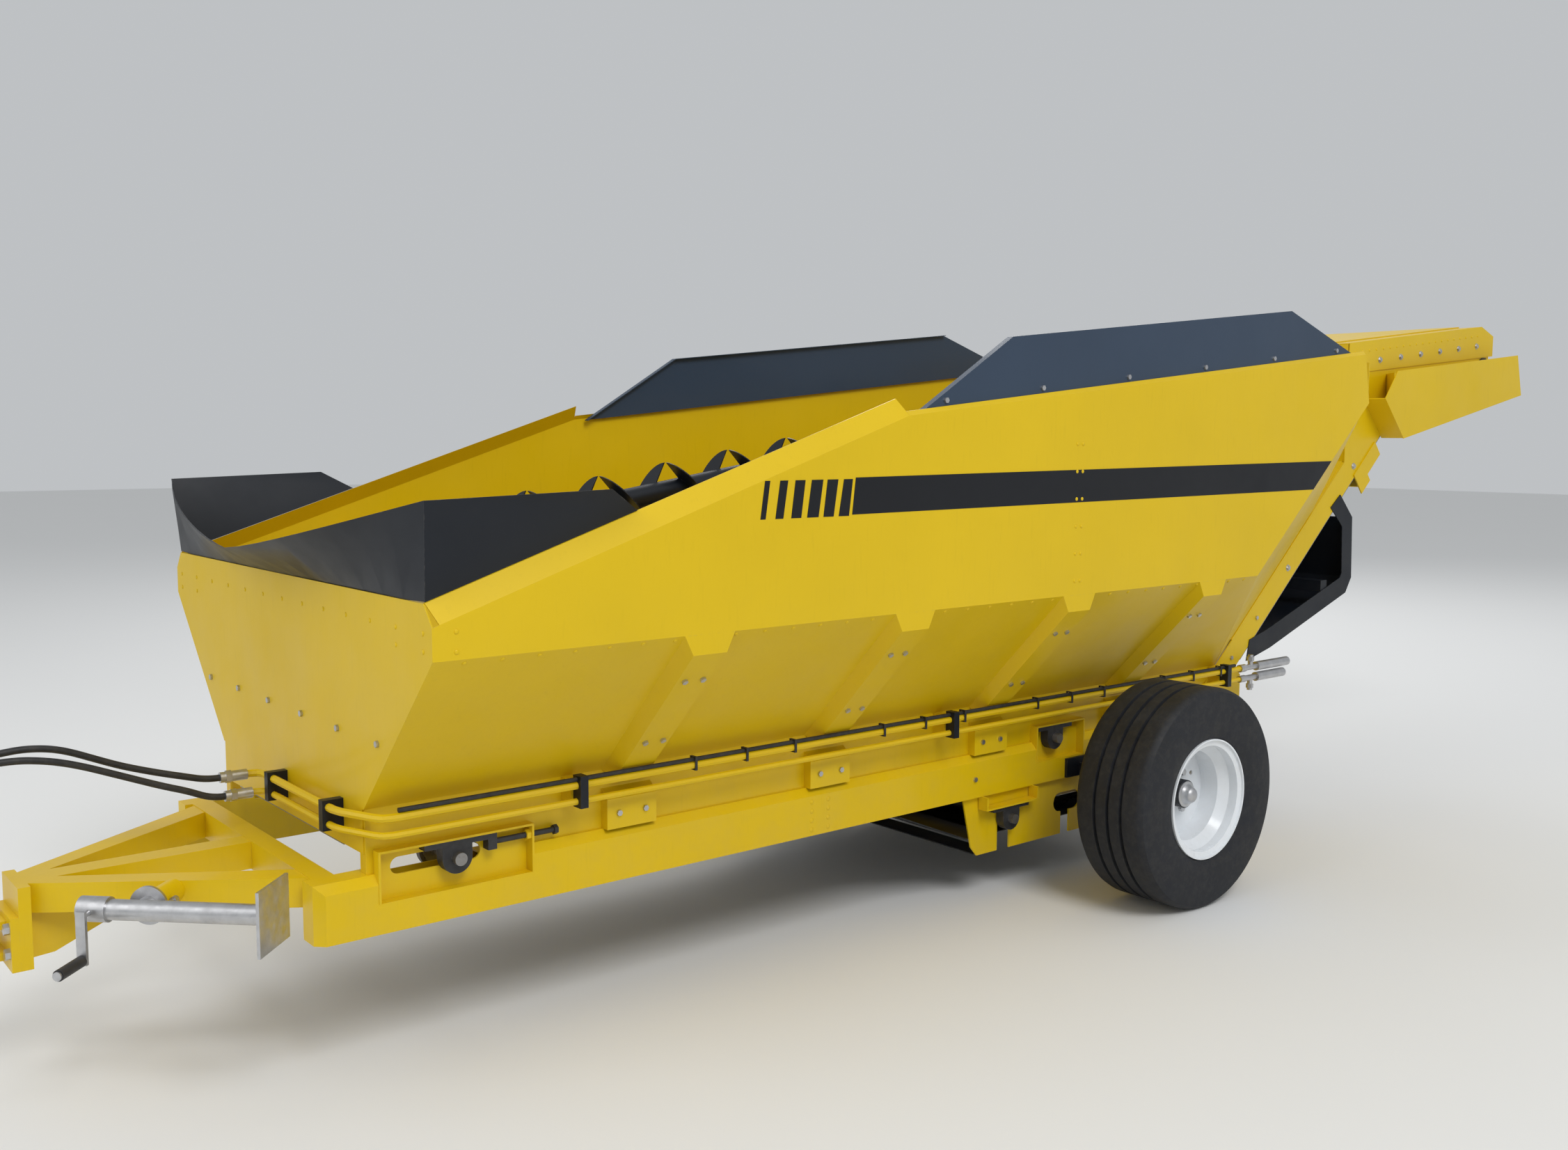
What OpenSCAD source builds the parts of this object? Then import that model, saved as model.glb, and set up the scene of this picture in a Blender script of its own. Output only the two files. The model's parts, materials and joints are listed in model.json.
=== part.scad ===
// Orchard grain cart: a single-axle hopper cart with a floor conveyor, a rear elevator, a levelling
// auger, a drawbar tongue and a side-wind jack. X runs rearwards from the wheel axle, Y runs to the
// right-hand side and Z runs up from the ground.

/* [Hopper] */
// Overall width of the hopper sides
hopper_w = 1878; // [1800:2:2000]
// Width over the two lower side plates
floor_w = 1054; // [1000:2:1100]
// Axle to the outside of the front wall
front_len = 2832; // [2700:4:3200]
// Axle to the rear end of the side bend line
bend_rear_x = 533; // [480:1:700]
// Height of the lower edge of the sloping sides
slope_z = 703; // [690:1:760]
// Height of the bend between sloping and upright sides
bend_z = 1133; // [1080:1:1200]
// Height of the upright side at the front wall
side_front_z = 1213; // [1190:1:1280]
// Rise of the side's front edge, in degrees
front_pitch = 18.3; // [16:0.1:20]
// Rise of the side's rear edge and of the discharge, in degrees
top_pitch = 6.1; // [5:0.1:8]
// Axle to the knee of the side's top edge
knee_x = -1316; // [-1500:1:-1200]
// Height of the dark extension panels
extension_h = 201; // [150:1:260]
// Thickness of the hopper sheet
sheet_t = 3; // [2:0.5:5]
// Width of the inward lip along the top edges
lip_w = 43; // [30:1:60]
// Rise of that lip
lip_rise = 52; // [30:1:60]
// Distance between the side ribs
rib_pitch = 760; // [700:1:800]
// Axle to the first rib
rib_first_x = -2040; // [-2150:1:-2000]

/* [Frame] */
// Height of the rail's underside
rail_z = 380; // [360:1:420]
// Height of the rail
rail_h = 153; // [140:1:170]
// Width of the rail
rail_w = 90; // [80:1:110]
// Bevel on the rail's outer top edge and front end
rail_bevel = 24; // [10:1:30]
// Distance from the front wall to the rail's front end
rail_nose = 140; // [120:1:200]
// Axle to the rear end of the rails
rail_rear_x = 1080; // [1000:1:1200]
// Wall of the rails and beams
wall = 5; // [4:0.5:8]
// Thickness of the side plates
plate_t = 6; // [4:0.5:8]
// Length of the tongue ahead of the cross beam
tongue_len = 562; // [500:1:700]
// Diameter of the hitch pin hole
hitch_pin_d = 32; // [25:1:40]

/* [Wheels] */
// Outside radius of the tyre
tyre_r = 392; // [380:1:405]
// Width of the tyre
tyre_w = 292; // [260:1:310]
// Radius of the rim's outer flange
rim_r = 213; // [205:1:220]
// Centre line of the cart to the centre of a wheel
track_half = 975; // [960:1:1050]
// Radius of the circle of wheel bolts
wheel_pcd_r = 76; // [70:1:80]
// Radius of the spindle in the hub bearings
spindle_r = 20; // [18:0.5:24]

/* [Conveyors] */
// Height of the floor conveyor's shafts
floor_shaft_z = 542; // [530:1:550]
// Axle to the front conveyor shaft
front_shaft_x = -2590; // [-2620:1:-2570]
// Axle to the rear conveyor shaft
rear_shaft_x = -170; // [-200:1:-150]
// Radius of all conveyor shafts
shaft_r = 17.5; // [15:0.5:20]
// Radius of the floor conveyor's sprockets
floor_sprocket_r = 44; // [40:1:46]
// Radius of the elevator's sprockets
lift_sprocket_r = 26; // [24:1:30]
// Axle to the boot shaft of the elevator
boot_x = -425; // [-450:1:-400]
// Height of the boot shaft
boot_z = 284; // [270:1:300]
// Axle to the lower knee of the elevator
lift_knee_x = 493; // [450:1:540]
// Climb of the elevator, in degrees
lift_angle = 41; // [38:0.5:44]
// Height of the upper knee of the elevator
lift_top_z = 1920; // [1850:1:1960]
// Length of the upper, discharge stretch
discharge_len = 780; // [700:1:900]
// Half the depth of the elevator casing
casing_half = 54; // [52:1:64]

/* [Clearances] */
// Radial running clearance of shafts in bearings
run_fit = 0.05; // [0.02:0.01:0.1]
// Clearance between sliding or passing faces
slide_gap = 0.5; // [0.3:0.1:1]
// Clearance of seated faces that still have to move
seat_gap = 0.3; // [0.2:0.1:0.5]

/* [Hidden] */
$fn = 48;

eps = 0.01;
big = 6000;

// Frame
floor_half = floor_w / 2;
side_half = hopper_w / 2;
rail_out = floor_half + 33;
rail_in = rail_out - rail_w;
rail_top = rail_z + rail_h;
rail_front_x = -front_len - rail_nose;
web_in = floor_half - plate_t;
beam_front_x = rail_front_x + 22;
beam_w = 60;

// Hopper
slope_run = side_half - floor_half;
slope_rise = bend_z - slope_z;
slope_ang = atan2(slope_rise, slope_run);
slope_len = norm([slope_run, slope_rise]);
inner_front_x = -front_len + sheet_t + 1;
rear_lip = 13;
knee_z = side_front_z + (knee_x - inner_front_x) * tan(front_pitch);
tail_z = 1751;
tail_x = bend_rear_x + (tail_z - bend_z) / tan(lift_angle);
tail_top_x = tail_x + 10;
function front_line(x) = side_front_z + (x - inner_front_x) * tan(front_pitch);
function ext_line(x) = knee_z + (x - knee_x) * tan(top_pitch);
function top_line(x) = ext_line(x) + extension_h;
rib_count = 4;
rib_base = 82;
rib_face = 55;
rib_h = 38;
function rib_x(i) = rib_first_x + i * rib_pitch;

// Bearing blocks
block_w = 34;
block_half_len = 93;
block_seat = 47;
block_boss_r = 43;
pocket_top = floor_shaft_z + block_seat + seat_gap;
pocket_floor = rail_z + 80;
pocket_front = [front_shaft_x - 219, front_shaft_x + 229];
pocket_rear = [rear_shaft_x - 103, rear_shaft_x + 170];
block_y = floor_half + 1;
shaft_end = block_y + block_w + 22;
slot_half = 23;
slot_front = 150;
slot_rear = 60;
takeup_bolt_z = floor_shaft_z + 20;
takeup_bolt_r = 8;

// Lower plates, below the rails
low_y = rail_out - 26;
low_bottom = boot_z - 122;
low_front_x = boot_x - 214;
low_rear_x = lift_knee_x + 120;
hanger_half = 137;
boot_block_y = low_y + plate_t + 5;

// Conveyor chains
strand_y = 435;
strand_w = 20;
strand_half = 6;
slat_h = 18;

// Elevator
lift_knee = [lift_knee_x, boot_z];
lift_top_x = lift_knee_x + (lift_top_z - boot_z) / tan(lift_angle);
head = [lift_top_x + discharge_len * cos(top_pitch), lift_top_z + discharge_len * sin(top_pitch)];
lift_path = [[boot_x, boot_z], lift_knee, [lift_top_x, lift_top_z], head];
casing_in = floor_half;
casing_t = 5;
flange_t = 4;
casing_out = casing_in + casing_t;
hood_front_x = lift_top_x - 525;
hood_rear_x = head[0] + 100;
hood_h = 215;
hood_side_h = 138;
function hood_top(x) = lift_top_z + hood_h + (x - lift_top_x) * tan(top_pitch);
function lift_x(z) = lift_knee_x + (z - boot_z) / tan(lift_angle);
function crease_x(z) = lift_x(z) - casing_half / sin(lift_angle);
function seam_x(z) = lift_x(z) - (casing_half + flange_t) / sin(lift_angle);
function belly_x(z) = lift_x(z) + casing_half / sin(lift_angle);
tail_mid_z = tail_z - bend_z + slope_z;

// Wheels
rim_half = 140;
disc_y = -12;
hub_bore_r = 36.1;
spindle_in = -105;
spindle_end = 42;
axle_z = tyre_r;

// Tongue and jack
hitch_x = beam_front_x - tongue_len;
hitch_plate_t = 29;
arm_w = 76;
tongue_top = rail_top - 2;
tongue_bottom = tongue_top - arm_w;
clevis_x = hitch_x - hitch_plate_t;
clevis_z = tongue_top - 140;
clevis_reach = 150;
pin_r = hitch_pin_d / 2;
jack_ang = -44.7;
jack_top = [hitch_x + 84, -272, 505];
jack_tube_r = 25.4;
jack_tube_len = 440;
jack_pivot_s = 137;
jack_ram_r = 21;
jack_foot_half = 80;
jack_mount_len = 156;
jack_foot_s = jack_tube_len + 26;
crank_s = -40;
crank_len = 150;
jack_wall = 4;

// Auger
auger_pitch = 9;
auger_r = 95;
auger_tube_r = 36;
auger_turn = 265;
auger_start = [-2230, 1355];
auger_len = 3290;
auger_turns = 12;

// Hydraulic lines
line_y = -(floor_half + 73);
line_z = [690, 645];
line_r = [11, 9.5];
line_front_x = -(front_len + 38);
line_end_y = [100, 60];
line_rear_x = rail_rear_x - 95;
line_bend_r = 45;
clamp_w = 25;
clamp_x = [-2236, -762, 858];
harness_r = 6.5;
harness_z = line_z[0] + line_r[0] + harness_r;

// Front hoses, from the ends of the lines to the parking rack
hose_r = 9.5;
hose_upper_path = [
    [-2985, 100, 690], [-3020, 100, 690], [-3080, 100, 708], [-3130, 100, 723], [-3185, 100, 741],
    [-3246, 100, 763], [-3306, 98, 790], [-3367, 96, 818], [-3410, 94, 832], [-3451, 92, 839],
    [-3490, 90, 841], [-3530, 88, 838], [-3570, 86, 834], [-3605, 86, 834]
];
hose_lower_path = [
    [-2985, 60, 645], [-3020, 60, 645], [-3085, 60, 676], [-3143, 60, 697], [-3212, 60, 726],
    [-3280, 60, 755], [-3346, 59, 783], [-3411, 58, 805], [-3475, 57, 818], [-3520, 56, 821],
    [-3565, 55, 820], [-3605, 55, 820]
];

// Shared helpers
module block(x, y, z) {
    translate([x[0], y[0], z[0]])
        cube([x[1] - x[0], y[1] - y[0], z[1] - z[0]]);
}

module rod_y(x, z, y, r) {
    translate([x, y[0], z]) rotate([-90, 0, 0]) cylinder(h = y[1] - y[0], r = r);
}

module rod_x(y, z, x, r) {
    translate([x[0], y, z]) rotate([0, 90, 0]) cylinder(h = x[1] - x[0], r = r);
}

module side_poly(y, points) {
    translate([0, y[1], 0]) rotate([90, 0, 0]) linear_extrude(height = y[1] - y[0])
        polygon(points);
}

module cross_poly(x, points) {
    translate([x[0], 0, 0]) rotate([90, 0, 90]) linear_extrude(height = x[1] - x[0])
        polygon(points);
}

module left() {
    mirror([0, 1, 0]) children();
}

module both() {
    children();
    left() children();
}

// A flat sheet: an outline of three or four corners, thickened along v
module sheet(points, v) {
    n = len(points);
    low = [for (i = [0 : n - 1]) i];
    high = [for (i = [n - 1 : -1 : 0]) i + n];
    walls = [for (i = [0 : n - 1]) [(i + 1) % n, i, i + n, (i + 1) % n + n]];
    polyhedron(
        points = concat(points, [for (p = points) p + v]),
        faces = concat([low, high], walls)
    );
}

// A tube of eight sides swept along a path
module swept(path, r) {
    n = 8;
    rings = len(path);
    ring = [for (i = [0 : rings - 1])
        let (a = path[max(i - 1, 0)], b = path[min(i + 1, rings - 1)])
        let (d = (b - a) / norm(b - a), u = cross([0, 1, 0], d), s = u / norm(u))
        let (w = cross(d, s))
        for (k = [0 : n - 1]) path[i] + r * (cos(360 * k / n) * s + sin(360 * k / n) * w)];
    walls = [for (i = [0 : rings - 2], k = [0 : n - 1])
        [i * n + k, i * n + (k + 1) % n, (i + 1) * n + (k + 1) % n, (i + 1) * n + k]];
    start = [for (k = [n - 1 : -1 : 0]) k];
    finish = [for (k = [0 : n - 1]) (rings - 1) * n + k];
    polyhedron(points = ring, faces = concat(walls, [start, finish]));
}

// Outline of a band that follows a path, r either side of it, with round ends
function unit(v) = v / norm(v);
function left_of(v) = [-v[1], v[0]];
function edge_point(path, i, r) =
    let (n = len(path))
    let (a = left_of(unit(path[max(i, 1)] - path[max(i, 1) - 1])))
    let (b = left_of(unit(path[min(i, n - 2) + 1] - path[min(i, n - 2)])))
    path[i] + r * (a + b) / (1 + a * b);

module along_path(path, r) {
    n = len(path);
    polygon(concat([for (i = [0 : n - 1]) edge_point(path, i, r)],
        [for (i = [n - 1 : -1 : 0]) edge_point(path, i, -r)]));
    for (p = [path[0], path[n - 1]]) translate(p) circle(r);
}

// Side frames
module side_rail() {
    profile = [[rail_in, rail_z], [rail_out, rail_z], [rail_out, rail_top - rail_bevel],
        [rail_out - rail_bevel, rail_top], [rail_in, rail_top]];
    hollow = [[rail_in + wall, rail_z + wall], [rail_out - wall, rail_z + wall],
        [rail_out - wall, rail_top - rail_bevel - wall / 2],
        [rail_out - rail_bevel - wall / 2, rail_top - wall], [rail_in + wall, rail_top - wall]];
    cut_y = web_in - seat_gap;
    color("gold") {
        difference() {
            intersection() {
                cross_poly([rail_front_x, rail_rear_x], profile);
                linear_extrude(height = big) polygon([[rail_front_x, rail_in],
                    [rail_front_x, rail_out - rail_bevel], [rail_front_x + rail_bevel, rail_out],
                    [rail_rear_x, rail_out], [rail_rear_x, rail_in]]);
            }
            cross_poly([rail_front_x + rail_bevel + wall, rail_rear_x - wall], hollow);
            for (p = [pocket_front, pocket_rear])
                block(p, [cut_y, rail_out + 1], [pocket_floor, rail_top + 1]);
            block([front_shaft_x - slot_front - slot_half, front_shaft_x + slot_rear + slot_half],
                [rail_in - 1, rail_out + 1], [floor_shaft_z - slot_half, rail_top + 1]);
            block([rear_shaft_x - slot_half, rear_shaft_x + slot_half],
                [rail_in - 1, rail_out + 1], [floor_shaft_z - slot_half, rail_top + 1]);
        }
        for (p = [pocket_front, pocket_rear])
            block(p, [cut_y, rail_out - wall], [pocket_floor - wall, pocket_floor]);
    }
}

module side_rail_right() {
    side_rail();
}

module side_rail_left() {
    left() side_rail();
}

// A bearing pocket: a back plate in the side plate and a frame that stands out from it
module pocket_frame(p) {
    y = [floor_half - eps, rail_out + 2];
    block(p, y, [pocket_top, pocket_top + plate_t]);
    block([p[0], p[0] + plate_t], y, [pocket_floor, pocket_top + eps]);
    block([p[1] - plate_t, p[1]], y, [pocket_floor, pocket_top + eps]);
}

module lower_plate() {
    y = [low_y, low_y + plate_t];
    slot_r = 32;
    key_r = 36;
    key_x = boot_x + 315;
    difference() {
        side_poly(y, [[low_front_x, rail_z], [low_front_x + 45, low_bottom + 35],
            [low_front_x + 75, low_bottom], [low_rear_x, low_bottom], [low_rear_x, rail_z]]);
        rod_y(boot_x, boot_z, [y[0] - 1, y[1] + 1], slot_r);
        block([boot_x - slot_r, boot_x + slot_r], [y[0] - 1, y[1] + 1], [0, boot_z]);
        rod_y(key_x, boot_z, [y[0] - 1, y[1] + 1], key_r);
        rod_y(key_x + 80, boot_z, [y[0] - 1, y[1] + 1], key_r);
        block([key_x, key_x + 80], [y[0] - 1, y[1] + 1], [boot_z - key_r, boot_z + key_r]);
        block([key_x + 6, key_x + 54], [y[0] - 1, y[1] + 1], [0, boot_z]);
    }
    hanger = [boot_x - hanger_half, boot_x + hanger_half];
    hanger_y = [boot_block_y - 1, boot_block_y + block_w + 8];
    seat = boot_z + block_seat + seat_gap;
    block(hanger, hanger_y, [seat, seat + plate_t]);
    block([hanger[0], hanger[0] + plate_t], hanger_y, [seat, rail_z]);
    block([hanger[1] - plate_t, hanger[1]], hanger_y, [seat, rail_z]);
}

module side_plate() {
    web = [web_in, floor_half];
    color("gold") {
        difference() {
            union() {
                side_poly(web, [[inner_front_x, rail_top], [rail_rear_x, rail_top],
                    [rail_rear_x, slope_z - 60], [rail_rear_x - 60, slope_z],
                    [inner_front_x, slope_z]]);
                for (p = [pocket_front, pocket_rear])
                    block(p, web, [pocket_floor, rail_top + eps]);
                for (p = [pocket_front, pocket_rear]) pocket_frame(p);
            }
            rod_y(front_shaft_x - slot_front, floor_shaft_z, [web[0] - 1, web[1] + 1], slot_half);
            rod_y(front_shaft_x + slot_rear, floor_shaft_z, [web[0] - 1, web[1] + 1], slot_half);
            block([front_shaft_x - slot_front, front_shaft_x + slot_rear],
                [web[0] - 1, web[1] + 1], [floor_shaft_z - slot_half, floor_shaft_z + slot_half]);
            rod_y(rear_shaft_x, floor_shaft_z, [web[0] - 1, web[1] + 1], slot_half);
            rod_x(block_y + block_w / 2, takeup_bolt_z, [pocket_front[1] - 20, pocket_front[1] + 1],
                takeup_bolt_r + slide_gap);
        }
        block([inner_front_x, inner_front_x + plate_t], [web_in - 28, web_in + eps],
            [rail_top, slope_z]);
        difference() {
            translate([pocket_front[1] - plate_t - 13, block_y + block_w / 2, takeup_bolt_z])
                rotate([0, 90, 0]) cylinder(h = 13 + eps, r = 15, $fn = 6);
            rod_x(block_y + block_w / 2, takeup_bolt_z, [pocket_front[1] - 30, pocket_front[1]],
                takeup_bolt_r + slide_gap);
        }
        lower_plate();
    }
}

module side_plate_right() {
    side_plate();
}

module side_plate_left() {
    left() side_plate();
    color("gold") for (x = clamp_x)
        block([x - 20, x + 20], [line_y + 18, x > lift_knee_x ? -casing_out : -floor_half],
            [line_z[1] - 15, line_z[0] + 12]);
}

module cross_members() {
    color("gold") {
        difference() {
            block([beam_front_x, beam_front_x + beam_w], [-rail_in, rail_in],
                [rail_top - 80, rail_top]);
            block([beam_front_x + wall, beam_front_x + beam_w - wall],
                [-rail_in - 1, rail_in + 1], [rail_top - 80 + wall, rail_top - wall]);
        }
        for (i = [0 : 2]) difference() {
            block([rib_x(i) - 30, rib_x(i) + 30], [-web_in, web_in], [rail_top, rail_top + 50]);
            block([rib_x(i) - 30 + wall, rib_x(i) + 30 - wall], [-web_in - 1, web_in + 1],
                [rail_top + wall, rail_top + 50 - wall]);
        }
    }
}

// Tongue
module tongue_arm() {
    root = [beam_front_x, rail_in - 20];
    tip = [hitch_x, 10];
    step = root - tip;
    off = arm_w / 2 / cos(atan2(step[1], step[0]));
    linear_extrude(height = arm_w)
        polygon([[tip[0], tip[1] - off + 30], [tip[0], tip[1] + off], [root[0], root[1] + 5],
            [root[0], root[1] + 5 - 2 * off]]);
}

module tongue() {
    color("gold") {
        block([hitch_x, beam_front_x], [-38, 38], [tongue_bottom, tongue_top]);
        both() translate([0, 0, tongue_bottom]) tongue_arm();
        block([clevis_x, hitch_x], [-90, 90], [tongue_top - 212, tongue_top]);
        both() side_poly([26, 38], [[hitch_x, tongue_top - 200], [hitch_x + 60, tongue_top - 195],
            [hitch_x + 230, tongue_bottom - 45], [hitch_x + 245, tongue_bottom],
            [hitch_x, tongue_bottom]]);
        // Swivel stub for the jack, square to the jack
        stub = jack_point(jack_pivot_s);
        translate([stub[0], stub[1], stub[2]]) rotate([0, 0, jack_ang + 90]) rotate([0, 90, 0])
            translate([0, 0, jack_tube_r + 18]) cylinder(h = jack_mount_len - jack_tube_r - 18,
                r = 30);
    }
}

module hitch_clevis() {
    color("gold") difference() {
        union() {
            block([clevis_x - 20, clevis_x], [-90, 90], [tongue_top - 212, clevis_z + 65]);
            for (z = [clevis_z - 50, clevis_z + 30]) {
                block([clevis_x - clevis_reach + 45, clevis_x - 19], [-45, 45], [z, z + 20]);
                translate([clevis_x - clevis_reach + 45, 0, z]) cylinder(h = 20, r = 45);
            }
        }
        translate([clevis_x - clevis_reach + 45, 0, 0]) cylinder(h = big, r = pin_r);
    }
}

// Wheels, built round the origin with the outer side towards +Y
module at_wheel() {
    translate([0, track_half, axle_z]) children();
}

module around_y(points) {
    rotate([-90, 0, 0]) rotate_extrude($fn = 96) polygon([for (p = points) [p[0], -p[1]]]);
}

module stub_axles() {
    plate_z = [rail_z + 2, pocket_floor - 6];
    color("dimgray") both() {
        block([-110, 110], [rail_out, rail_out + 12], plate_z);
        block([-38, 38], [rail_out + 12, track_half + spindle_in], [axle_z - 38, axle_z + 38]);
        at_wheel() {
            rod_y(0, 0, [spindle_in, spindle_in + 16], 34);
            rod_y(0, 0, [spindle_in + 16, spindle_end], spindle_r);
        }
    }
}

module wheel_bearings() {
    color("silver") both() at_wheel() for (y = [spindle_in + 18, spindle_end - 34])
        difference() {
            rod_y(0, 0, [y, y + 26], hub_bore_r - run_fit);
            rod_y(0, 0, [y - 1, y + 27], spindle_r + eps);
        }
}

module wheel_hub() {
    start = spindle_in + 16 + slide_gap;
    color("dimgray") at_wheel() difference() {
        union() {
            rod_y(0, 0, [start, spindle_end], 50);
            rod_y(0, 0, [disc_y - 14, disc_y], wheel_pcd_r + 22);
        }
        rod_y(0, 0, [start - 1, spindle_end + 1], hub_bore_r);
        for (a = [0 : 60 : 300])
            rotate([0, a, 0]) rod_y(wheel_pcd_r, 0, [disc_y - 20, disc_y + 1], 7);
    }
}

module wheel_hub_right() {
    wheel_hub();
}

module wheel_hub_left() {
    left() wheel_hub();
}

module rim() {
    t = 4;
    well_r = rim_r - 48;
    seat_r = rim_r - 20;
    outer = [[rim_r, -rim_half], [rim_r, -rim_half + 8], [seat_r, -rim_half + 12],
        [seat_r, -rim_half + 45], [well_r, -rim_half + 75], [well_r, 30], [seat_r, 75],
        [seat_r, rim_half - 12], [rim_r, rim_half - 8], [rim_r, rim_half]];
    inner = [for (i = [len(outer) - 1 : -1 : 0]) outer[i] - [t + 1, 0]];
    color("whitesmoke") at_wheel() difference() {
        union() {
            around_y(concat(outer, inner));
            rod_y(0, 0, [disc_y, disc_y + 7], well_r - t + 1);
        }
        rod_y(0, 0, [disc_y - 1, disc_y + 8], 50 + seat_gap);
        for (a = [0 : 60 : 300])
            rotate([0, a, 0]) rod_y(wheel_pcd_r, 0, [disc_y - 1, disc_y + 8], 7);
        for (a = [30 : 60 : 330])
            rotate([0, a, 0]) rod_y(wheel_pcd_r + 34, 0, [disc_y - 1, disc_y + 8], 8);
    }
}

module rim_right() {
    rim();
}

module rim_left() {
    left() rim();
}

module tyre() {
    bead_r = rim_r - 20 + seat_gap;
    half = tyre_w / 2;
    flat = half - 32;
    depth = 12;
    groove = 7;
    belly = 16;
    side = [for (a = [0 : 15 : 90]) [bead_r + 60 + (tyre_r - bead_r - 74) * a / 90,
        half - belly * pow(a / 90 - 0.35, 2)]];
    crown = [for (g = [1, 0, -1]) each [[tyre_r, g * 55 + groove], [tyre_r - depth, g * 55 + 5],
        [tyre_r - depth, g * 55 - 5], [tyre_r, g * 55 - groove]]];
    bead_y = rim_half - 12 - seat_gap;
    outer = concat([[bead_r, bead_y - 24], [bead_r, bead_y - 0.2],
        [rim_r + 0.6, rim_half - 8.6], [rim_r + 6, rim_half - 3]], side,
        [[tyre_r - 4, flat + 14], [tyre_r, flat]], crown);
    tail = [[tyre_r, -flat], [tyre_r - 4, -flat - 14]];
    far = [for (i = [len(side) - 1 : -1 : 0]) [side[i][0], -side[i][1]]];
    far_bead = [[rim_r + 6, -rim_half + 3], [rim_r + 0.6, -rim_half + 8.6],
        [bead_r, -bead_y + 0.2], [bead_r, -bead_y + 24]];
    cavity = [[bead_r + 20, -bead_y + 22], [rim_r + 12, -half + 22], [tyre_r - 40, -half + 22],
        [tyre_r - 24, -half + 50], [tyre_r - 24, half - 50], [tyre_r - 40, half - 22],
        [rim_r + 12, half - 22], [bead_r + 20, bead_y - 22]];
    color("black") at_wheel() around_y(concat(outer, tail, far, far_bead, cavity));
}

module tyre_right() {
    tyre();
}

module tyre_left() {
    left() tyre();
}

module hub_cap() {
    color("silver") at_wheel() rotate([-90, 0, 0]) translate([0, 0, spindle_end])
        rotate_extrude($fn = 64) polygon(concat([[0, 1.5], [38, 1.5], [38, 0], [46, 0], [46, 4],
            [36, 6], [30, 16]], [for (a = [0 : 15 : 90]) [28 * cos(a), 22 + 18 * sin(a)]]));
}

module hub_cap_right() {
    hub_cap();
}

module hub_cap_left() {
    left() hub_cap();
}

module wheel_bolts() {
    color("silver") at_wheel() for (a = [0 : 60 : 300]) rotate([0, a, 0]) {
        rod_y(wheel_pcd_r, 0, [disc_y - 14, disc_y + 8], 6.7);
        translate([wheel_pcd_r, disc_y + 7, 0]) rotate([-90, 0, 0])
            cylinder(h = 13, r = 12.5, $fn = 6);
    }
}

module wheel_bolts_right() {
    wheel_bolts();
}

module wheel_bolts_left() {
    left() wheel_bolts();
}

// Jack, built along local +X from its gear head; local +Y points to the tongue
function jack_point(s) = jack_top + s * [cos(jack_ang), sin(jack_ang), 0];
spigot_r = 15;
crank_r = 8;
crank_y = -(jack_tube_r + 36);
gear_r = 31;
gear_s = [-12, 60];
jack_disc = jack_tube_r + 18;

module at_jack() {
    translate(jack_top) rotate([0, 0, jack_ang]) children();
}

module jack_mount() {
    color("dimgray") at_jack() {
        rod_y(jack_pivot_s, 0, [jack_disc - 8, jack_disc], 48);
        rod_y(jack_pivot_s, 0, [jack_tube_r + 1, jack_disc - 7], spigot_r);
        rod_y(jack_pivot_s + 40, 0, [jack_disc - 1, jack_disc + 36], 5);
        rod_y(jack_pivot_s + 40, 0, [jack_disc + 35, jack_disc + 50], 9);
    }
}

module jack_tube() {
    color("silver") at_jack() difference() {
        union() {
            rod_x(0, 0, [0, jack_tube_len], jack_tube_r);
            rod_x(0, 0, gear_s, gear_r);
            rod_y(jack_pivot_s, 0, [0, jack_disc - 8 - seat_gap], 24);
        }
        rod_x(0, 0, [gear_s[1], jack_tube_len + 1], jack_tube_r - jack_wall);
        rod_y(jack_pivot_s, 0, [jack_tube_r - jack_wall + 1.5, jack_disc], spigot_r + run_fit);
        rod_y(-crank_s / 2, 0, [-gear_r - 1, -12 + slide_gap], crank_r + run_fit);
    }
}

module jack_ram() {
    color("silver") at_jack() {
        rod_x(0, 0, [gear_s[1] + 4, jack_foot_s + 1], jack_ram_r);
        block([jack_foot_s, jack_foot_s + 8], [-jack_foot_half, jack_foot_half],
            [-jack_foot_half, jack_foot_half]);
    }
}

module jack_crank() {
    arm_y = [crank_y, crank_y + 10];
    color("silver") at_jack() translate([-crank_s / 2, 0, 0]) {
        rod_y(0, 0, [crank_y + 1, -12], crank_r);
        block([-12, 12], arm_y, [-crank_len + 30, 12]);
        rod_y(0, -crank_len + 42, [crank_y - 96, crank_y + 1], 6);
        rod_y(0, -crank_len + 42, [crank_y - 100, crank_y - 95], 11);
    }
}

module jack_grip() {
    color("black") at_jack() translate([-crank_s / 2, 0, -crank_len + 42]) difference() {
        rod_y(0, 0, [crank_y - 94, crank_y - slide_gap], 14);
        rod_y(0, 0, [crank_y - 95, crank_y], 6 + run_fit);
    }
}

// Hopper
module edge_strip(a, b, profile) {
    translate([a[0], 0, a[1]]) rotate([0, -atan2(b[1] - a[1], b[0] - a[0]), 0])
        cross_poly([0, norm(b - a)], profile);
}

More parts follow.
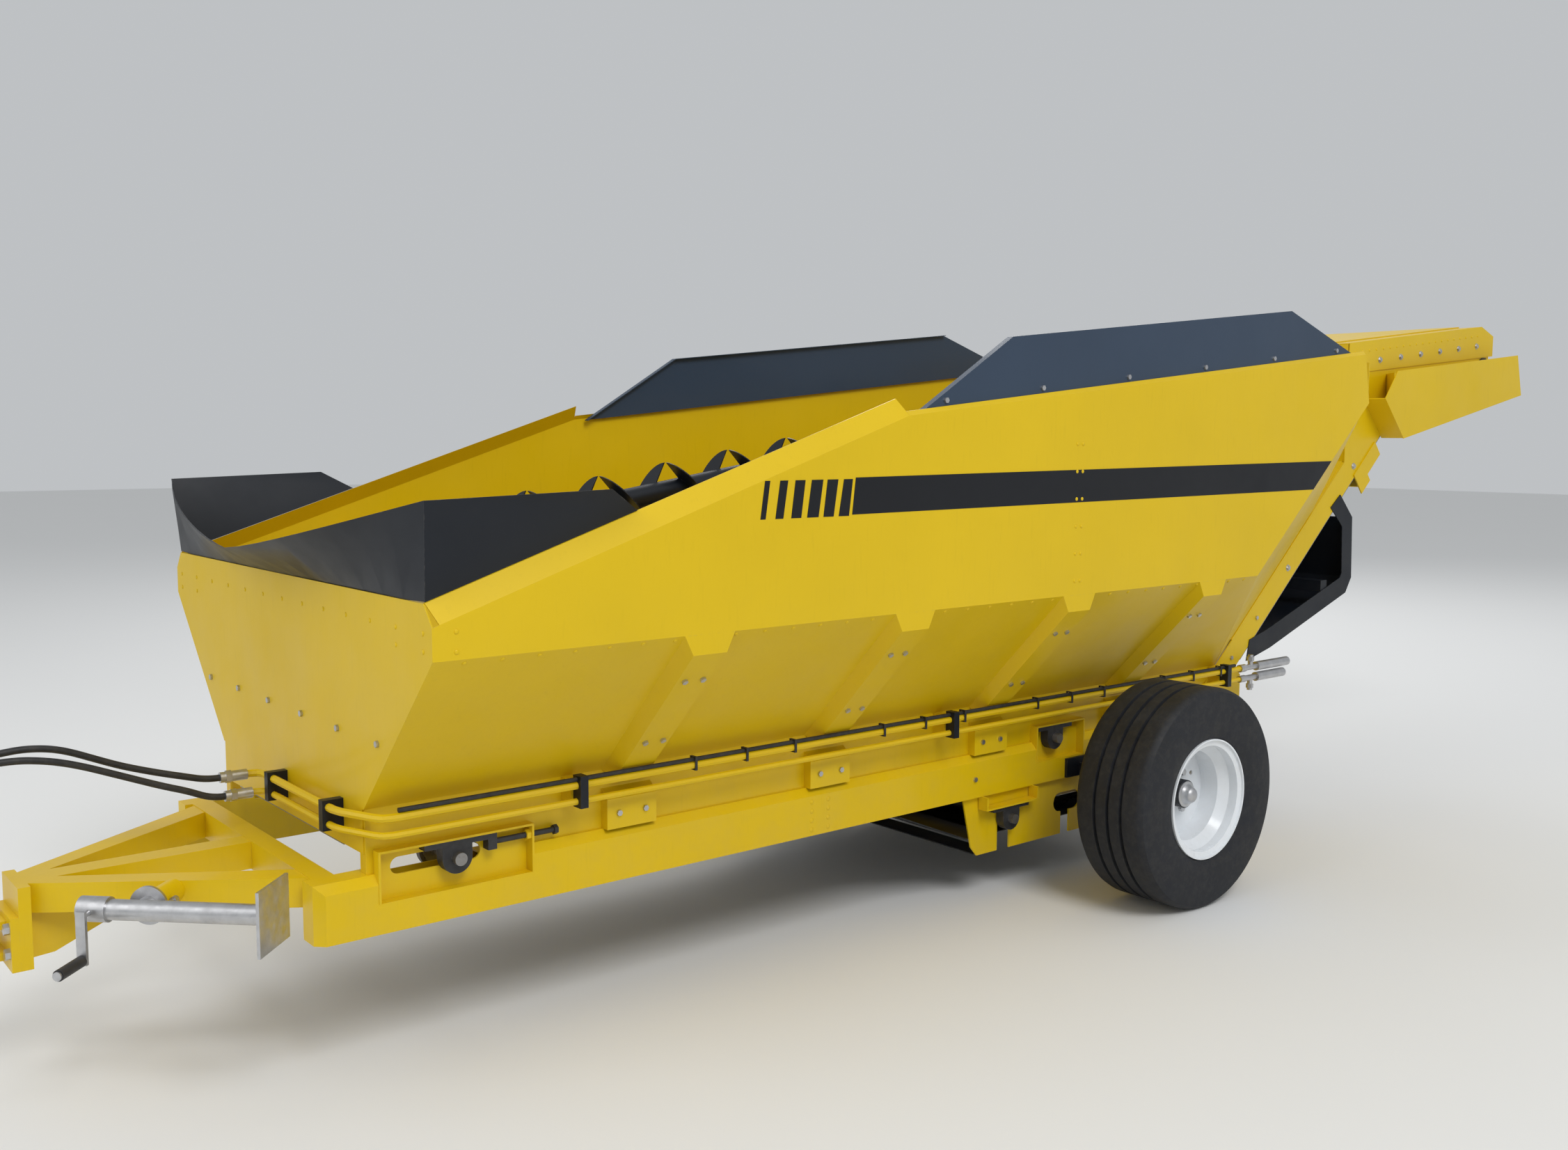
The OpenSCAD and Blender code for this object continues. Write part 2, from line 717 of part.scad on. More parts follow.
module hopper_front() {
    x = [inner_front_x - sheet_t, inner_front_x];
    lip_z = side_front_z + lip_rise;
    color("gold") {
        cross_poly(x, [[-web_in + 2, pan_z - 5], [web_in - 2, pan_z - 5], [web_in - 2, slope_z],
            [floor_half, slope_z], [side_half, bend_z], [side_half, side_front_z],
            [side_half - lip_w, lip_z], [-side_half + lip_w, lip_z], [-side_half, side_front_z],
            [-side_half, bend_z], [-floor_half, slope_z], [-web_in + 2, slope_z]]);
        block([inner_front_x - eps, inner_front_x + 30],
            [-side_half + lip_w + 8, side_half - lip_w - 8], [lip_z - sheet_t, lip_z]);
    }
}
pan_z = rail_top + 58;

module hopper_side() {
    t = sheet_t;
    a = slope_ang;
    slope_rear = seam_x(slope_z) - 4;
    skin = [[floor_half, slope_z], [side_half, bend_z], [side_half, big], [side_half - t, big],
        [side_half - t, bend_z + t * (1 / cos(a) - tan(a))], [floor_half - t / sin(a), slope_z]];
    edge = [[inner_front_x, side_front_z], [knee_x, knee_z], [tail_top_x, ext_line(tail_top_x)]];
    lip_start = [inner_front_x + lip_rise * tan(front_pitch) * cos(front_pitch),
        front_line(inner_front_x + lip_rise * sin(front_pitch))];
    lip = [[side_half, -2], [side_half, 0], [side_half - lip_w, lip_rise],
        [side_half - lip_w - t, lip_rise], [side_half - t, -2]];
    color("gold") {
        intersection() {
            cross_poly([inner_front_x, tail_top_x + 100], skin);
            side_poly([0, big], [[inner_front_x, slope_z], [slope_rear, slope_z],
                [bend_rear_x - 4, bend_z], [tail_x, tail_z], [tail_x + 50, tail_z + 43], edge[2],
                edge[1], edge[0]]);
        }
        edge_strip(lip_start, edge[1], lip);
        edge_strip(edge[1], edge[2], [[side_half, -2], [side_half, 0],
            [side_half - rear_lip, rear_lip], [side_half - rear_lip - t, rear_lip],
            [side_half - t, -2]]);
    }
}

module hopper_side_right() {
    hopper_side();
}

module hopper_side_left() {
    left() hopper_side();
}

module hopper_tail() {
    in_y = casing_in;
    n = sheet_t * [-sin(lift_angle) * 0.7, -0.7, cos(lift_angle) * 0.7];
    c_low = [seam_x(slope_z), in_y, slope_z];
    c_mid = [seam_x(tail_mid_z), in_y, tail_mid_z];
    edge_y = side_half - sheet_t - seat_gap;
    t_low = [bend_rear_x, edge_y, bend_z];
    t_top = [tail_x, edge_y, tail_z];
    t_lip = [tail_x + 47, edge_y, tail_z + 43];
    color("gold") {
        both() sheet([t_low, c_low, c_mid, t_top], n);
        sheet([c_mid, [c_mid[0], -c_mid[1], c_mid[2]], [t_top[0], -t_top[1], t_top[2]], t_top],
            [-sheet_t, 0, 0]);
        block([tail_x + 44, tail_x + 47], [-t_lip[1], t_lip[1]],
            [tail_z + 30, ext_line(tail_top_x) - 30]);
        sheet([t_top, [t_top[0], -t_top[1], t_top[2]], [t_lip[0], -t_lip[1], t_lip[2]], t_lip],
            [-sheet_t, 0, 0]);
    }
}

module side_ribs() {
    t = 3;
    color("gold") both() for (i = [0 : rib_count - 1]) {
        x = rib_x(i);
        intersection() {
            translate([x, floor_half, slope_z]) rotate([slope_ang - 90, 0, 0])
                linear_extrude(height = slope_len + 60)
                polygon([[-rib_base, 0], [-rib_face, rib_h], [rib_face, rib_h], [rib_base, 0],
                    [rib_base - t, 0], [rib_face - t, rib_h - t], [-rib_face + t, rib_h - t],
                    [-rib_base + t, 0]]);
            block([x - 100, x + 100], [floor_half, side_half], [rail_top + 80, bend_z]);
        }
        intersection() {
            translate([x, floor_half, slope_z]) rotate([slope_ang - 90, 0, 0])
                linear_extrude(height = slope_len + 60)
                polygon([[-rib_base, 0], [-rib_face, rib_h], [rib_face, rib_h], [rib_base, 0]]);
            block([x - 100, x + 100], [side_half - t, side_half], [bend_z - 120, bend_z]);
        }
        difference() {
            cross_poly([x - 84, x + 84], [[floor_half, rail_top], [rail_out, rail_top],
                [rail_out, rail_top + 88], [floor_half, rail_top + 116]]);
            cross_poly([x - 84 + t, x + 84 - t], [[floor_half - 1, rail_top - 1],
                [rail_out - t, rail_top - 1], [rail_out - t, rail_top + 85],
                [floor_half - 1, rail_top + 113]]);
        }
    }
}

module extension() {
    t = 4;
    y = [side_half - rear_lip - sheet_t - t, side_half - rear_lip - sheet_t];
    front = [knee_x + 40, ext_line(knee_x + 40) - 8];
    top_a = [-854, top_line(-854)];
    top_b = [723, top_line(723)];
    rear = [tail_top_x - 40, ext_line(tail_top_x - 40) - 8];
    color("dimgray") {
        side_poly(y, [front, rear, top_b, top_a]);
        edge_strip(top_a, top_b, [[y[0] - 20, -3], [y[1], -3], [y[1], 0], [y[0] - 20, 0]]);
        edge_strip(front, top_a, [[y[0] - 20, -3], [y[1], -3], [y[1], 0], [y[0] - 20, 0]]);
    }
}

module extension_right() {
    extension();
}

module extension_left() {
    left() extension();
}

// Outline of the apron's top edge across the front
function apron_lip(y) = 1345 + 167 * pow(abs(y) / apron_half, 1.3);
apron_half = 930;

module front_apron() {
    t = 3;
    v = [t, 0, 0];
    base_z = side_front_z + lip_rise;
    wall_x = inner_front_x;
    steps = 8;
    wing_in = side_half - lip_w - 1;
    ys = [for (i = [-steps : steps]) (side_half - lip_w) * i / steps];
    clear = 4.4; // lifts the two end points over the side lips
    low = [for (y = ys) [wall_x, y, base_z + (abs(y) > wing_in ? clear : 0)]];
    high = [for (y = ys) [-2985 + 155 * pow(abs(y) / apron_half, 2), y * apron_half
        / (side_half - lip_w), apron_lip(y)]];
    rise = lip_rise / cos(front_pitch) + 2 * seat_gap;
    wing_y = side_half - lip_w;
    side_low = [[wall_x, wing_y, side_front_z + rise], [-2241, wing_y, front_line(-2241) + rise]];
    side_high = [[-2340, 935, 1520], [high[2 * steps][0], apron_half, apron_lip(896)]];
    color("dimgray") {
        for (i = [0 : 2 * steps - 1]) {
            sheet([low[i], low[i + 1], high[i]], v);
            sheet([low[i + 1], high[i + 1], high[i]], v);
        }
        both() {
            sheet([side_low[1], side_low[0], side_high[1]], [0, t, 0]);
            sheet([side_low[1], side_high[1], side_high[0]], [0, t, 0]);
        }
    }
}

// Silver bolts along the body seams
bolt_r = 9;
bolt_h = 7;

module bolt_y(x, z, y) {
    translate([x, y, z]) rotate([-90, 0, 0]) cylinder(h = bolt_h, r = bolt_r, $fn = 6);
}

module bolt_on_slope(x, z, rise) {
    y = floor_half + (z - slope_z) / tan(slope_ang);
    translate([x, y, z]) rotate([slope_ang + 180, 0, 0]) translate([0, 0, rise])
        cylinder(h = bolt_h, r = bolt_r, $fn = 6);
}

module body_bolts() {
    out = [for (i = [-5 : 2 : 5]) i * 125];
    color("silver") {
        both() {
            for (i = [0 : rib_count - 1]) {
                for (s = [-1, 1]) {
                    for (z = [826, 1025]) bolt_on_slope(rib_x(i) + s * 30, z, rib_h);
                    bolt_y(rib_x(i) + s * 45, rail_top + 45, rail_out);
                }
            }
            for (i = [0 : 5]) {
                x = -1150 + i * 440;
                bolt_y(x, ext_line(x) + 30, side_half - rear_lip - sheet_t);
            }
            bolt_y(-600, rail_z + 68, rail_out);
            for (x = [1000, 1180]) bolt_y(x, front_z(x), casing_out);
        }
        for (y = out) translate([inner_front_x - sheet_t, y, 890]) rotate([0, -90, 0])
            cylinder(h = bolt_h, r = bolt_r, $fn = 6);
        for (s = [-1, 1], z = [tongue_top - 167, tongue_top - 103])
            translate([clevis_x - 20, s * 72, z]) rotate([0, -90, 0])
            cylinder(h = 13, r = 15, $fn = 6);
    }
}
function front_z(x) = boot_z + (x - lift_knee_x) * tan(lift_angle);

// Floor conveyor
module floor_pan() {
    x = [front_shaft_x + floor_sprocket_r + 80, rear_shaft_x - 60];
    color("silver") {
        block(x, [-web_in, web_in], [pan_z - 8, pan_z - 5]);
        block([inner_front_x - sheet_t, x[0] + eps], [-strand_y + 40, strand_y - 40], [pan_z - 8, pan_z - 5]);
    }
}

// A loop of chain round two sprockets: two strands joined by slats on the outside
module chain_outline(path, r, t) {
    difference() {
        along_path(path, r + t);
        along_path(path, r);
    }
}

module floor_chain() {
    path = [[front_shaft_x, floor_shaft_z], [rear_shaft_x, floor_shaft_z]];
    r = floor_sprocket_r + seat_gap;
    top_z = floor_shaft_z + r + 2 * strand_half - 2;
    low_z = floor_shaft_z - r - 2 * strand_half + 2;
    span = rear_shaft_x - front_shaft_x;
    count = 16;
    color("dimgray") {
        both() side_poly2([strand_y - strand_w / 2, strand_y + strand_w / 2])
            chain_outline(path, r, 2 * strand_half - 2);
        for (i = [0 : count - 1]) {
            x = front_shaft_x + span * (i + 0.5) / count;
            block([x - 18, x + 18], [-strand_y - 10, strand_y + 10], [low_z - slat_h + 4, low_z]);
            block([x - 18, x + 18], [strand_y - 10, strand_y + 10], [top_z - eps, top_z + 3]);
            block([x - 18, x + 18], [-strand_y - 10, -strand_y + 10], [top_z - eps, top_z + 3]);
            block([x - 18, x + 18], [-strand_y - 10, strand_y + 10], [top_z + 3, top_z + 12]);
        }
    }
}

module side_poly2(y) {
    translate([0, y[1], 0]) rotate([90, 0, 0]) linear_extrude(height = y[1] - y[0]) children();
}

module sprocket(x, z, y, r) {
    teeth = 12;
    difference() {
        rod_y(x, z, [y - 6, y + 6], r);
        for (a = [0 : 360 / teeth : 359])
            translate([x + (r + 3) * cos(a), 0, z + (r + 3) * sin(a)])
            rod_y(0, 0, [y - 7, y + 7], 6);
    }
    rod_y(x, z, [y - 14, y + 14], shaft_r + 6);
}

module conveyor_shaft(x, z, r, end) {
    color("silver") {
        rod_y(x, z, [-end, end], shaft_r);
        both() sprocket(x, z, strand_y, r);
    }
}

module front_shaft() {
    conveyor_shaft(front_shaft_x, floor_shaft_z, floor_sprocket_r, shaft_end);
}

module drive_shaft() {
    conveyor_shaft(rear_shaft_x, floor_shaft_z, floor_sprocket_r, shaft_end);
}

module boot_shaft() {
    conveyor_shaft(boot_x, boot_z, lift_sprocket_r, boot_block_y + block_w + 20);
}

module head_shaft() {
    conveyor_shaft(head[0], head[1], lift_sprocket_r, casing_out + block_w + 18);
}

// A hung bearing block: foot on top, bearing boss below it
module hung_block(x, z, y) {
    difference() {
        union() {
            block([x - block_half_len, x + block_half_len], [y, y + block_w],
                [z + block_seat - 14, z + block_seat]);
            rod_y(x, z, [y, y + block_w], block_boss_r);
            block([x - block_boss_r, x + block_boss_r], [y, y + block_w],
                [z, z + block_seat - 10]);
        }
        rod_y(x, z, [y - 1, y + block_w + 1], shaft_r + run_fit);
    }
}

module takeup_blocks() {
    x = front_shaft_x + block_half_len;
    y = block_y + block_w / 2;
    color("dimgray") both() {
        hung_block(front_shaft_x, floor_shaft_z, block_y);
        block([x - 2, x + 24], [block_y + 2, block_y + block_w - 2],
            [takeup_bolt_z - 18, floor_shaft_z + block_seat]);
        rod_x(y, takeup_bolt_z, [x + 20, pocket_front[1] + 74], takeup_bolt_r);
        translate([pocket_front[1] + 68, y, takeup_bolt_z]) rotate([0, 90, 0])
            cylinder(h = 12, r = 14, $fn = 6);
    }
}

module shaft_bearings() {
    color("dimgray") both() {
        hung_block(rear_shaft_x, floor_shaft_z, block_y);
        hung_block(boot_x, boot_z, boot_block_y);
        difference() {
            union() {
                rod_y(head[0], head[1], [casing_out, casing_out + 12], 56);
                rod_y(head[0], head[1], [casing_out, casing_out + block_w], block_boss_r);
            }
            rod_y(head[0], head[1], [casing_out - 1, casing_out + block_w + 1],
                shaft_r + run_fit);
        }
    }
}

// Elevator
module at_lift() {
    translate([lift_knee[0], 0, lift_knee[1]]) rotate([0, -lift_angle, 0]) children();
}
lift_len = norm(lift_path[2] - lift_path[1]);
function lift_s(z) = (z - boot_z) / sin(lift_angle);

module at_discharge() {
    translate([lift_top_x, 0, lift_top_z]) rotate([0, -top_pitch, 0]) children();
}

module elevator_side() {
    y = [casing_in, casing_out];
    z0 = rail_top;
    bend = lift_angle - top_pitch;
    color("gold") {
        difference() {
            union() {
                side_poly(y, [[crease_x(z0), z0], [belly_x(z0), z0],
                    [belly_x(lift_top_z - 274), lift_top_z - 274],
                    [lift_top_x, lift_top_z - casing_half], [lift_top_x, lift_top_z],
                    [hood_front_x, hood_top(hood_front_x) - hood_side_h],
                    [hood_front_x, boot_z + (hood_front_x + casing_half / sin(lift_angle)
                    - lift_knee_x) * tan(lift_angle)]]);
                at_discharge() block([-450, discharge_len + 70], y, [0, 100]);
                at_discharge() block([-1, discharge_len + 70], y, [-casing_half, 1]);
            }
            rod_y(head[0], head[1], [y[0] - 1, y[1] + 1], shaft_r + 6);
        }
        at_lift() block([lift_s(slope_z) + 84, lift_s(lift_top_z) - 140],
            [y[0] - 76, y[1]], [casing_half, casing_half + flange_t]);
    }
    color("gold") at_lift() {
        block([lift_len - 622, lift_len - 530], [casing_out, casing_out + 6],
            [-casing_half - 100, -casing_half + 14]);
        block([lift_len - 536, lift_len - 390], [casing_out, casing_out + 6],
            [-casing_half - 62, -casing_half + 14]);
        block([lift_len - 620, lift_len - 390], [casing_in - 50, casing_out + 1],
            [-casing_half - 62, -casing_half - 56]);
    }
}

module elevator_side_right() {
    elevator_side();
}

module elevator_side_left() {
    left() elevator_side();
}

module elevator_deck() {
    z = [lift_sprocket_r - 3, lift_sprocket_r];
    under = [-casing_half - 3, -casing_half];
    s1 = lift_s(rail_top + 10);
    s2 = lift_s(slope_z + 150);
    s3 = lift_s(slope_z) + 76;
    color("silver") {
        block([boot_x + 45, lift_knee_x], [-low_y, low_y], [boot_z + z[0], boot_z + z[1]]);
        at_lift() {
            block([0, s1], [-rail_in, rail_in], z);
            block([s1 - 1, s2], [-web_in, web_in], z);
            block([s2 - 1, lift_len - 10], [-casing_in, casing_in], z);
            block([lift_s(rail_top) + 80, s3], [-web_in, web_in], under);
            block([s3 - 1, lift_len - 30], [-casing_out, casing_out], under);
        }
        at_discharge() {
            block([-7, discharge_len - 45], [-casing_in, casing_in], z);
            block([20, discharge_len - 150], [-casing_out, casing_out], under);
        }
    }
}

module boot_pan() {
    t = 3;
    low = boot_z - casing_half;
    w = low_y;
    color("dimgray") {
        side_poly([-w, w], [[-943, 366], [-612, low], [lift_knee_x, low], [lift_knee_x, low - t],
            [-613, low - t], [-944, 366 - t]]);
        at_lift() block([0, 80], [-w, w], [-casing_half - t, -casing_half]);
        at_lift() block([79, lift_s(rail_top) + 79], [-rail_in, rail_in],
            [-casing_half - t, -casing_half]);
        block([boot_x - 150, boot_x - 60], [-w, w], [low_bottom + 4, low_bottom + 8]);
    }
}

module elevator_chain() {
    r = lift_sprocket_r + seat_gap;
    t = 2 * strand_half - 2;
    y = [strand_y - strand_w / 2, strand_y + strand_w / 2];
    span = [2 - strand_y - strand_w / 2, strand_y + strand_w / 2 - 2];
    up = [r + t - 2, r + t + 12];
    down = [-up[1], -up[0]];
    color("dimgray") {
        both() side_poly2(y) chain_outline(lift_path, r, t);
        for (x = [boot_x + 100 : 190 : lift_knee_x - 60], z = [up, down])
            block([x - 4, x + 4], span, [boot_z, boot_z] + z);
        at_lift() for (s = [110 : 190 : lift_len - 60], z = [up, down])
            block([s - 4, s + 4], span, z);
        at_discharge() for (s = [110 : 190 : discharge_len - 40], z = [up, down])
            block([s - 4, s + 4], span, z);
    }
}

module discharge_hood() {
    t = 4;
    y = [casing_out, casing_out + t];
    top_rear = hood_rear_x - 131;
    nose_z = hood_top(top_rear) - 43;
    outline = [[hood_front_x, hood_top(hood_front_x) - hood_side_h],
        [hood_front_x, hood_top(hood_front_x)], [top_rear, hood_top(top_rear)],
        [hood_rear_x, nose_z], [hood_rear_x, nose_z - 100]];
    cover_s = [lift_s(tail_mid_z) + 12, lift_s(lift_z_at_hood) + 35];
    w = casing_out + t / 2;
    skin = [[-w, -t - 1], [w, -t - 1], [w, -1], [-w, -1]];
    color("gold") {
        both() side_poly(y, outline);
        edge_strip(outline[1] + [1, 0], outline[2], skin);
        edge_strip(outline[2] - [2, 0], outline[3] - [2, 0], skin);
        block([hood_rear_x - t - 1, hood_rear_x - 1], [-w, w], [nose_z - 99, nose_z - 3]);
        block([hood_front_x + 2, hood_front_x + t + 2], [-casing_in, casing_in],
            [lift_z_at_hood + 11, hood_top(hood_front_x) - 3]);
        at_lift() block(cover_s, [-casing_in + 7, casing_in - 7],
            [casing_half + flange_t, casing_half + flange_t + 3]);
    }
    color("dimgray") edge_strip([hood_front_x + 8, hood_top(hood_front_x + 8)],
        [top_rear, hood_top(top_rear)], [[-420, -2], [420, -2], [420, 5], [-420, 5]]);
}
lift_z_at_hood = boot_z + (hood_front_x + casing_half / sin(lift_angle) - lift_knee_x)
    * tan(lift_angle);

module discharge_shields() {
    t = 4;
    out = casing_out + 108;
    face = [[2097, 1958], [3306, 2074], [3366, 1873], [2173, 1650], [1991, 1830]];
    color("gold") both() {
        side_poly([out - t, out], face);
        side_poly([casing_out, out - t], [[1993, 1829], [1999, 1833], [2178, 1654], [2172, 1652]]);
        translate([0, 0, 1838]) linear_extrude(height = 112) polygon([[2070, out - t],
            [2078, out - t], [2203, casing_out], [2195, casing_out]]);
        for (s = [250, 620]) at_discharge()
            block([s, s + 40], [casing_out, out - t], [-30, -24]);
    }
}

module belly_guard() {
    t = 4;
    w = 85;
    y = [casing_out, casing_out + t];
    outer = [[1110, 700], [1289, 742], [1900, 942], [1946, 1010], [1933, 1289], [1822, 1395]];
    inner = [[1745, 1338], [1848, 1250], [1860, 1035], [1845, 1013], [1262, 823], [1130, 790]];
    color("dimgray") {
        both() side_poly(y, concat(outer, inner));
        for (i = [1 : 3]) {
            step = outer[i + 1] - outer[i];
            translate([outer[i][0], 0, outer[i][1]])
                rotate([0, -atan2(step[1], step[0]), 0])
                block([1, norm(step)], [-y[0] - t / 2, y[0] + t / 2], [1, t + 1]);
        }
    }
    color("gold") block([1690, 1740], [-y[0], y[0]], [960, 1010]);
}

// Levelling auger
module at_auger() {
    translate([auger_start[0], 0, auger_start[1]]) rotate([0, -auger_pitch, 0]) children();
}

// One turn of flight is two half-moon plates, tilted opposite ways so that they follow the pitch
module auger_flight() {
    plate_half = 2;
    split = 6;
    tilt = atan2(auger_turn / 4, auger_r);
    for (k = [0 : auger_turns - 1], side = [1, -1]) {
        x = 60 + auger_turn * (k + 0.5 - side / 4);
        intersection() {
            rod_x(0, 0, [x - auger_r, x + auger_r], auger_r);
            translate([x, 0, 0]) rotate([0, side * tilt, 0])
                block([-plate_half, plate_half],
                    side > 0 ? [split, 2 * auger_r] : [-2 * auger_r, -split],
                    [-2 * auger_r, 2 * auger_r]);
        }
    }
}

module levelling_auger() {
    color("dimgray") at_auger() {
        rod_x(0, 0, [0, auger_len], auger_tube_r);
        rod_x(0, 0, [-70, auger_len + 90], shaft_r);
        auger_flight();
    }
}

module auger_supports() {
    s = [-50, auger_len + 30];
    color("gold") for (i = [0, 1]) at_auger() {
        difference() {
            rod_x(0, 0, [s[i], s[i] + 30], 45);
            rod_x(0, 0, [s[i] - 1, s[i] + 31], shaft_r + run_fit);
        }
        difference() {
            block([s[i] - 10, s[i] + 30], [-side_half + sheet_t, side_half - sheet_t], [-92, -42]);
            block([s[i] - 6, s[i] + 26], [-side_half, side_half], [-88, -46]);
        }
    }
}

// Hydraulic motors on the right-hand shaft ends and behind the auger
module motor_y(x, z, y, len) {
    difference() {
        union() {
            block([x - 62, x + 62], [y, y + 8], [z - 40, z + 40]);
            rod_y(x, z, [y + 7, y + len], 38);
        }
        rod_y(x, z, [y - 1, y + 30], shaft_r + 1);
    }
    rod_x2(x, y + len - 30, z + 30);
}

module rod_x2(x, y, z) {
    for (s = [-1, 1]) translate([x + s * 18, y, z]) cylinder(h = 30, r = 10);
}

module drive_motors() {
    color("black") {
        motor_y(rear_shaft_x, floor_shaft_z, rail_out + 2, 130);
        motor_y(head[0], head[1], casing_out + block_w, 66);
        at_auger() difference() {
            union() {
                rod_x(0, 0, [auger_len + 60, auger_len + 70], 45);
                rod_x(0, 0, [auger_len + 69, auger_len + 190], 38);
            }
            rod_x(0, 0, [auger_len + 59, auger_len + 94], shaft_r + 1);
        }
    }
}

// Hydraulic lines along the left-hand side
function line_path(i) = [
    [line_front_x - 62, line_end_y[i], line_z[i]], [line_front_x - 30, line_end_y[i], line_z[i]],
    [line_front_x - 10, line_end_y[i] - 8, line_z[i]], [line_front_x, line_end_y[i] - 28, line_z[i]],
    [line_front_x, -430, line_z[i]], [line_front_x + 7, -465, line_z[i]],
    [line_front_x + 50, -575, line_z[i]], [line_front_x + 62, line_y + 8, line_z[i]],
    [line_front_x + 84, line_y, line_z[i]], [line_rear_x, line_y, line_z[i]]
];

module hard_lines() {
    color("gold") for (i = [0, 1]) swept(line_path(i), line_r[i]);
}

module line_clamps() {
    y = [line_y - 22, line_y + 18];
    z = [line_z[1] - 17, harness_z + harness_r + 4];
    color("dimgray") {
        for (x = clamp_x) difference() {
            block([x - clamp_w / 2, x + clamp_w / 2], y, z);
            for (i = [0, 1])
                rod_x(line_y, line_z[i], [x - clamp_w, x + clamp_w], line_r[i] + run_fit);
            rod_x(line_y, harness_z, [x - clamp_w, x + clamp_w], harness_r + run_fit);
        }
        for (y = [-5, -400]) difference() {
            block([line_front_x - 18, inner_front_x - sheet_t], [y, y + clamp_w],
                [line_z[1] - 17, line_z[0] + 19]);
            for (i = [0, 1])
                rod_y(line_front_x, line_z[i], [y - 1, y + clamp_w + 1], line_r[i] + run_fit);
        }
    }
}

module harness() {
    x = [line_front_x + 100, line_rear_x - 60];
    gap = 0.2;
    color("black") {
        rod_x(line_y, harness_z, x, harness_r);
        for (i = [0 : rib_count - 1], k = [1 : 3]) translate([rib_x(i) + k * rib_pitch / 4, 0, 0])
            difference() {
                block([-4, 4], [line_y - 14, line_y + 14],
                    [line_z[0] - 14, harness_z + harness_r + 3]);
                block([-5, 5], [line_y - line_r[0] - gap, line_y + line_r[0] + gap],
                    [line_z[0] - line_r[0] - gap, harness_z + harness_r + gap]);
            }
    }
}

module rear_fittings() {
    color("silver") for (i = [0, 1]) {
        difference() {
            rod_x(line_y, line_z[i], [line_rear_x - 26, line_rear_x + 12], line_r[i] + 5);
            rod_x(line_y, line_z[i], [line_rear_x - 27, line_rear_x], line_r[i] + run_fit);
        }
        rod_x(line_y, line_z[i], [line_rear_x + 11, line_rear_x + 95], 12);
        translate([line_rear_x + 55, line_y, line_z[i]]) rotate([i * 180, 0, 0]) {
            cylinder(h = 52, r = 11);
            translate([0, 0, 26]) cylinder(h = 18, r = 15, $fn = 6);
        }
    }
    color("black") {
        rod_x(line_y, line_z[0], [line_rear_x + 94, line_rear_x + 330], 19);
        rod_x(line_y, line_z[1], [line_rear_x + 94, line_rear_x + 300], 19);
    }
}

module hose_upper() {
    color("black") swept(hose_upper_path, hose_r);
}

module hose_lower() {
    color("black") swept(hose_lower_path, hose_r);
}

module hose_fittings() {
    color("silver") for (i = [0, 1]) {
        difference() {
            rod_x(line_end_y[i], line_z[i], [hose_upper_path[0][0], line_front_x - 40], 15);
            rod_x(line_end_y[i], line_z[i], [line_front_x - 62, line_front_x - 39],
                line_r[i] + run_fit);
        }
        translate([line_front_x - 84, line_end_y[i], line_z[i]]) rotate([0, -90, 0])
            cylinder(h = 16, r = 18, $fn = 6);
    }
}

module hose_rack() {
    x = hose_upper_path[len(hose_upper_path) - 1][0] - 35;
    color("gold") {
        block([x, x + 8], [30, 45], [clevis_z + 50, 780]);
        block([x, x + 8], [30, 112], [775, 842]);
    }
    color("silver") for (p = [hose_upper_path[len(hose_upper_path) - 1],
        hose_lower_path[len(hose_lower_path) - 1]])
        translate(p) rotate([0, -90, 0]) cylinder(h = 64, r = 14);
}

side_rail_left();
side_rail_right();
side_plate_left();
side_plate_right();
cross_members();
tongue();
hitch_clevis();
stub_axles();
wheel_bearings();
wheel_hub_left();
wheel_hub_right();
rim_left();
rim_right();
tyre_left();
tyre_right();
hub_cap_left();
hub_cap_right();
wheel_bolts_left();
wheel_bolts_right();
jack_mount();
jack_tube();
jack_ram();
jack_crank();
jack_grip();
hopper_front();
hopper_side_left();
hopper_side_right();
hopper_tail();
side_ribs();
extension_left();
extension_right();
front_apron();
body_bolts();
floor_pan();
floor_chain();
front_shaft();
drive_shaft();
takeup_blocks();
shaft_bearings();
elevator_side_left();
elevator_side_right();
elevator_deck();
elevator_chain();
boot_shaft();
head_shaft();
discharge_hood();
discharge_shields();
belly_guard();
boot_pan();
levelling_auger();
auger_supports();
drive_motors();
hard_lines();
line_clamps();
harness();
rear_fittings();
hose_upper();
hose_lower();
hose_fittings();
hose_rack();
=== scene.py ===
import json
import math

import bmesh
import bpy
from mathutils import Matrix, Vector


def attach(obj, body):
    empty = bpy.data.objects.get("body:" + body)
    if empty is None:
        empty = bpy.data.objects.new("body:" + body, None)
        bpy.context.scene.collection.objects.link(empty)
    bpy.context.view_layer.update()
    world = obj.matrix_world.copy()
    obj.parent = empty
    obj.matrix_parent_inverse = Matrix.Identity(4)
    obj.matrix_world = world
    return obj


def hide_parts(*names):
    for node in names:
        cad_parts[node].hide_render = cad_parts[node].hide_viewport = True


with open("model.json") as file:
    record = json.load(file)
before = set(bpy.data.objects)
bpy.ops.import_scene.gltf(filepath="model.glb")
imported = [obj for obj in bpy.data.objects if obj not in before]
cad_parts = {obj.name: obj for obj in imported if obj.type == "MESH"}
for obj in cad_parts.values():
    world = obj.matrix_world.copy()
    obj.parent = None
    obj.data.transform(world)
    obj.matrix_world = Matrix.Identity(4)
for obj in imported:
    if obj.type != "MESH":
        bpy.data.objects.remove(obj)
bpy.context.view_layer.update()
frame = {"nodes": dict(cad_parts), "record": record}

NODES = frame["nodes"]
BODIES = frame["record"]["behaviour"]["bodies"]
